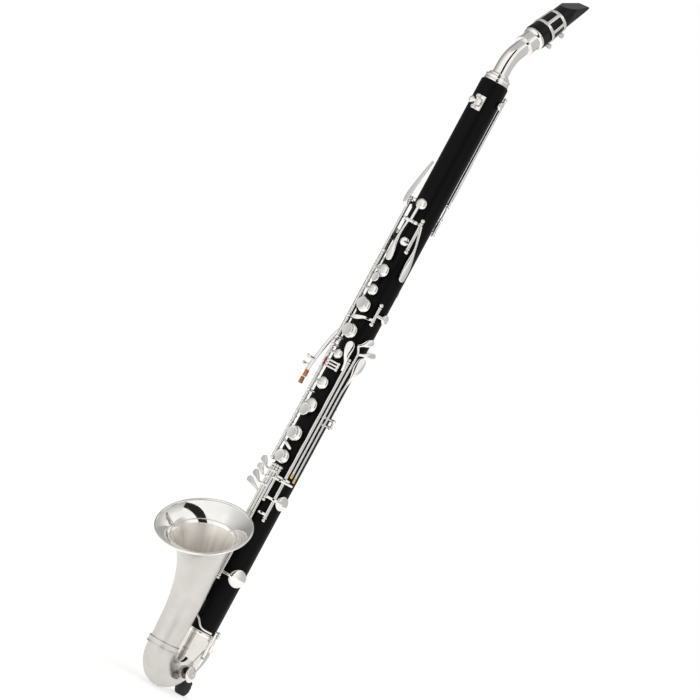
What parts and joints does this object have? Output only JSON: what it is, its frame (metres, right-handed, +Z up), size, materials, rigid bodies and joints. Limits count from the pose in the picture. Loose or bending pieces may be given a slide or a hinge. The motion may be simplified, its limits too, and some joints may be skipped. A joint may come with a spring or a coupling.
{
  "type": "low clarinet",
  "caption": "Low clarinet with a straight black body, silver key work, a bent neck with mouthpiece and reed, a U-shaped bow, an upturned flared bell and a floor peg.",
  "frame": {"origin": "centre of the flat foot of the floor peg's rubber tip", "axes": "+Z up along the body towards the neck; +Y to the back, towards the player; -Y to the front, where the bell stands; +X to the player's left"},
  "size_m": [0.1212, 0.2417, 0.9883],
  "materials": {
    "black_body": "satin black, smooth",
    "key_silver": "polished silver plate",
    "bell_silver": "satin to polished silver plate",
    "steel_rod": "polished steel rods and plated posts",
    "black_ebonite": "gloss black hard rubber",
    "cane": "dry cane",
    "cork": "natural cork",
    "rubber": "matt black rubber",
    "grey_felt": "grey felt"
  },
  "bodies": {
    "instrument_body": {"body_tube": "black_body", "neck_ring": "key_silver", "bow": "bell_silver", "bell": "bell_silver", "bell_ring": "bell_silver", "peg_holder": "key_silver", "strap_ring": "key_silver", "thumb_rest": "key_silver", "bow_bumper": "grey_felt", "upper_stack_rod": "steel_rod", "lower_stack_rod": "steel_rod", "throat_a_rod": "steel_rod", "throat_sharp_rod": "steel_rod", "cross_key_rod": "steel_rod", "side_rods": "steel_rod", "long_lever_rod": "steel_rod", "lever_axles": "steel_rod", "little_finger_rods": "steel_rod", "lowest_key_rod": "steel_rod", "register_rod": "steel_rod", "vent_rod": "steel_rod"},
    "neck": {"neck": "bell_silver", "neck_cork": "cork"},
    "mouthpiece": {"mouthpiece": "black_ebonite", "reed": "cane", "ligature": "key_silver"},
    "ligature_screw_lower": {"ligature_screw_lower": "key_silver"},
    "ligature_screw_upper": {"ligature_screw_upper": "key_silver"},
    "peg": {"peg": "steel_rod", "peg_tip": "rubber"},
    "peg_screw": {"peg_screw": "key_silver"},
    "lh1_key": {"lh1_key": "key_silver"},
    "lh_vent_key": {"lh_vent_key": "key_silver"},
    "lh2_key": {"lh2_key": "key_silver"},
    "lh3_key": {"lh3_key": "key_silver"},
    "small_trill_key": {"small_trill_key": "key_silver"},
    "rh_vent_key": {"rh_vent_key": "key_silver"},
    "rh1_key": {"rh1_key": "key_silver"},
    "rh2_key": {"rh2_key": "key_silver"},
    "rh3_key": {"rh3_key": "key_silver"},
    "bridge_key": {"bridge_key": "key_silver"},
    "sliver_key": {"sliver_key": "key_silver"},
    "throat_a_key": {"throat_a_key": "key_silver"},
    "throat_sharp_key": {"throat_sharp_key": "key_silver"},
    "cross_key": {"cross_key": "key_silver"},
    "side_key_1": {"side_key_1": "key_silver"},
    "side_key_2": {"side_key_2": "key_silver"},
    "side_key_3": {"side_key_3": "key_silver"},
    "side_key_4": {"side_key_4": "key_silver"},
    "lh_lever_1": {"lh_lever_1": "key_silver"},
    "lh_lever_2": {"lh_lever_2": "key_silver"},
    "lh_lever_3": {"lh_lever_3": "key_silver"},
    "rh_key_1": {"rh_key_1": "key_silver"},
    "rh_key_2": {"rh_key_2": "key_silver"},
    "rh_key_3": {"rh_key_3": "key_silver"},
    "rh_key_4": {"rh_key_4": "key_silver"},
    "lowest_key": {"lowest_key": "key_silver"},
    "register_key": {"register_key": "key_silver"},
    "thumb_key": {"thumb_key": "key_silver"},
    "vent_key": {"vent_key": "key_silver"}
  },
  "joints": [
    {"name": "neck_turn", "type": "hinge", "parent": "instrument_body", "child": "neck", "pos_m": [0, -0.0246, 0.852], "axis": [0, 0, 1], "range_deg": [-30, 30]},
    {"name": "mouthpiece_turn", "type": "hinge", "parent": "neck", "child": "mouthpiece", "pos_m": [0, 0.00472, 0.91873], "axis": [0, 0.6018, 0.7986], "range_deg": [-30, 30]},
    {"name": "ligature_screw_lower_turn", "type": "hinge", "parent": "mouthpiece", "child": "ligature_screw_lower", "pos_m": [-0.0045, 0.03075, 0.91915], "axis": [1, 0, 0], "continuous": true},
    {"name": "ligature_screw_upper_turn", "type": "hinge", "parent": "mouthpiece", "child": "ligature_screw_upper", "pos_m": [-0.0045, 0.04414, 0.93912], "axis": [1, 0, 0], "continuous": true},
    {"name": "peg_slide", "type": "slide", "parent": "instrument_body", "child": "peg", "axis": [0, 0, 1], "range_m": [-0.05, 0]},
    {"name": "peg_screw_turn", "type": "hinge", "parent": "instrument_body", "child": "peg_screw", "pos_m": [0, 0.0046, 0.064], "axis": [0, 1, 0], "continuous": true},
    {"name": "lh1_key_hinge", "type": "hinge", "parent": "instrument_body", "child": "lh1_key", "pos_m": [-0.01398, -0.04533, 0.56615], "axis": [0, 0, 1], "range_deg": [0, 8], "stiffness_Nm_per_rad": 0.03, "springref_deg": -17.19},
    {"name": "lh_vent_key_hinge", "type": "hinge", "parent": "instrument_body", "child": "lh_vent_key", "pos_m": [-0.01398, -0.04533, 0.54065], "axis": [0, 0, 1], "range_deg": [0, 8], "stiffness_Nm_per_rad": 0.03, "springref_deg": -17.19},
    {"name": "lh2_key_hinge", "type": "hinge", "parent": "instrument_body", "child": "lh2_key", "pos_m": [-0.01398, -0.04533, 0.512], "axis": [0, 0, 1], "range_deg": [0, 8], "stiffness_Nm_per_rad": 0.03, "springref_deg": -17.19},
    {"name": "lh3_key_hinge", "type": "hinge", "parent": "instrument_body", "child": "lh3_key", "pos_m": [-0.01398, -0.04533, 0.483], "axis": [0, 0, 1], "range_deg": [0, 8], "stiffness_Nm_per_rad": 0.03, "springref_deg": -17.19},
    {"name": "small_trill_key_hinge", "type": "hinge", "parent": "instrument_body", "child": "small_trill_key", "pos_m": [-0.01398, -0.04533, 0.45515], "axis": [0, 0, 1], "range_deg": [0, 8], "stiffness_Nm_per_rad": 0.03, "springref_deg": -17.19},
    {"name": "rh_vent_key_hinge", "type": "hinge", "parent": "instrument_body", "child": "rh_vent_key", "pos_m": [-0.01398, -0.04533, 0.409], "axis": [0, 0, 1], "range_deg": [0, 8], "stiffness_Nm_per_rad": 0.03, "springref_deg": -17.19},
    {"name": "rh1_key_hinge", "type": "hinge", "parent": "instrument_body", "child": "rh1_key", "pos_m": [-0.01398, -0.04533, 0.37715], "axis": [0, 0, 1], "range_deg": [0, 8], "stiffness_Nm_per_rad": 0.03, "springref_deg": -17.19},
    {"name": "rh2_key_hinge", "type": "hinge", "parent": "instrument_body", "child": "rh2_key", "pos_m": [-0.01398, -0.04533, 0.34615], "axis": [0, 0, 1], "range_deg": [0, 8], "stiffness_Nm_per_rad": 0.03, "springref_deg": -17.19},
    {"name": "rh3_key_hinge", "type": "hinge", "parent": "instrument_body", "child": "rh3_key", "pos_m": [-0.01398, -0.04533, 0.315], "axis": [0, 0, 1], "range_deg": [0, 8], "stiffness_Nm_per_rad": 0.03, "springref_deg": -17.19},
    {"name": "bridge_key_hinge", "type": "hinge", "parent": "instrument_body", "child": "bridge_key", "pos_m": [-0.01398, -0.04533, 0.43715], "axis": [0, 0, 1], "range_deg": [0, 3], "stiffness_Nm_per_rad": 0.03, "springref_deg": -17.19},
    {"name": "sliver_key_hinge", "type": "hinge", "parent": "instrument_body", "child": "sliver_key", "pos_m": [-0.01398, -0.04533, 0.33515], "axis": [0, 0, 1], "range_deg": [0, 4], "stiffness_Nm_per_rad": 0.03, "springref_deg": -17.19},
    {"name": "throat_a_key_hinge", "type": "hinge", "parent": "instrument_body", "child": "throat_a_key", "pos_m": [0.00079, -0.04719, 0.646], "axis": [0.9994, 0.0349, 0], "range_deg": [0, 4], "stiffness_Nm_per_rad": 0.03, "springref_deg": -17.19},
    {"name": "throat_sharp_key_hinge", "type": "hinge", "parent": "instrument_body", "child": "throat_sharp_key", "pos_m": [0.01422, -0.04216, 0.612], "axis": [0, 0, 1], "range_deg": [0, 10], "stiffness_Nm_per_rad": 0.03, "springref_deg": -17.19},
    {"name": "cross_key_hinge", "type": "hinge", "parent": "instrument_body", "child": "cross_key", "pos_m": [0.01731, -0.03913, 0.5145], "axis": [0, 0, 1], "range_deg": [-6, 0], "stiffness_Nm_per_rad": 0.03, "springref_deg": 17.19},
    {"name": "side_key_1_hinge", "type": "hinge", "parent": "instrument_body", "child": "side_key_1", "pos_m": [-0.02175, -0.03521, 0.582], "axis": [0, 0, 1], "range_deg": [0, 6], "stiffness_Nm_per_rad": 0.03, "springref_deg": -17.19},
    {"name": "side_key_2_hinge", "type": "hinge", "parent": "instrument_body", "child": "side_key_2", "pos_m": [-0.02396, -0.02797, 0.582], "axis": [0, 0, 1], "range_deg": [0, 6], "stiffness_Nm_per_rad": 0.03, "springref_deg": -17.19},
    {"name": "side_key_3_hinge", "type": "hinge", "parent": "instrument_body", "child": "side_key_3", "pos_m": [-0.02175, -0.03521, 0.477], "axis": [0, 0, 1], "range_deg": [0, 6], "stiffness_Nm_per_rad": 0.03, "springref_deg": -17.19},
    {"name": "side_key_4_hinge", "type": "hinge", "parent": "instrument_body", "child": "side_key_4", "pos_m": [-0.02396, -0.02797, 0.477], "axis": [0, 0, 1], "range_deg": [0, 6], "stiffness_Nm_per_rad": 0.03, "springref_deg": -17.19},
    {"name": "lh_lever_1_hinge", "type": "hinge", "parent": "instrument_body", "child": "lh_lever_1", "pos_m": [0.01541, -0.04113, 0.2415], "axis": [0, 0, 1], "range_deg": [-5.5, 0], "stiffness_Nm_per_rad": 0.03, "springref_deg": 17.19},
    {"name": "lh_lever_2_hinge", "type": "hinge", "parent": "instrument_body", "child": "lh_lever_2", "pos_m": [0.01787, -0.03628, 0.385], "axis": [0.2756, 0.9613, 0], "range_deg": [-1.1, 0], "stiffness_Nm_per_rad": 0.1, "springref_deg": 17.19},
    {"name": "lh_lever_3_hinge", "type": "hinge", "parent": "instrument_body", "child": "lh_lever_3", "pos_m": [0.01917, -0.03176, 0.376], "axis": [0.2756, 0.9613, 0], "range_deg": [-1.7, 0], "stiffness_Nm_per_rad": 0.1, "springref_deg": 17.19},
    {"name": "rh_key_1_hinge", "type": "hinge", "parent": "instrument_body", "child": "rh_key_1", "pos_m": [0.00508, -0.04662, 0.2645], "axis": [0, 0, 1], "range_deg": [-5.5, 0], "stiffness_Nm_per_rad": 0.03, "springref_deg": 17.19},
    {"name": "rh_key_2_hinge", "type": "hinge", "parent": "instrument_body", "child": "rh_key_2", "pos_m": [0.00079, -0.04719, 0.1545], "axis": [0, 0, 1], "range_deg": [-5.5, 0], "stiffness_Nm_per_rad": 0.03, "springref_deg": 17.19},
    {"name": "rh_key_3_hinge", "type": "hinge", "parent": "instrument_body", "child": "rh_key_3", "pos_m": [-0.00773, -0.04584, 0.1005], "axis": [0, 0, 1], "range_deg": [-5.5, 0], "stiffness_Nm_per_rad": 0.03, "springref_deg": 17.19},
    {"name": "rh_key_4_hinge", "type": "hinge", "parent": "instrument_body", "child": "rh_key_4", "pos_m": [-0.00353, -0.04692, 0.1225], "axis": [0, 0, 1], "range_deg": [-7, 0], "stiffness_Nm_per_rad": 0.03, "springref_deg": 17.19},
    {"name": "lowest_key_hinge", "type": "hinge", "parent": "instrument_body", "child": "lowest_key", "pos_m": [0.02095, -0.01613, 0.0565], "axis": [0, 0, 1], "range_deg": [-14, 0], "stiffness_Nm_per_rad": 0.03, "springref_deg": 17.19},
    {"name": "register_key_hinge", "type": "hinge", "parent": "instrument_body", "child": "register_key", "pos_m": [0.01164, -0.00523, 0.685], "axis": [0, 0, 1], "range_deg": [0, 8], "stiffness_Nm_per_rad": 0.03, "springref_deg": -17.19},
    {"name": "thumb_key_hinge", "type": "hinge", "parent": "instrument_body", "child": "thumb_key", "pos_m": [0.01164, -0.00523, 0.647], "axis": [0, 0, 1], "range_deg": [0, 8], "stiffness_Nm_per_rad": 0.03, "springref_deg": -17.19},
    {"name": "vent_key_hinge", "type": "hinge", "parent": "instrument_body", "child": "vent_key", "pos_m": [0.00224, -0.04588, 0.807], "axis": [0, 0, 1], "range_deg": [0, 8], "stiffness_Nm_per_rad": 0.03, "springref_deg": -17.19}
  ],
  "couplings": [
    {"joint": "lh_vent_key_hinge", "follows": "lh2_key_hinge", "ratio": 1},
    {"joint": "rh_vent_key_hinge", "follows": "rh1_key_hinge", "ratio": 1},
    {"joint": "bridge_key_hinge", "follows": "rh1_key_hinge", "ratio": 0.375},
    {"joint": "rh_key_1_hinge", "follows": "lh_lever_2_hinge", "ratio": 4.65},
    {"joint": "rh_key_2_hinge", "follows": "lh_lever_3_hinge", "ratio": 2.93},
    {"joint": "lh_lever_1_hinge", "follows": "rh_key_3_hinge", "ratio": 1},
    {"joint": "lowest_key_hinge", "follows": "rh_key_3_hinge", "ratio": 2.5455},
    {"joint": "register_key_hinge", "follows": "thumb_key_hinge", "ratio": 1},
    {"joint": "vent_key_hinge", "follows": "thumb_key_hinge", "ratio": 1}
  ]
}
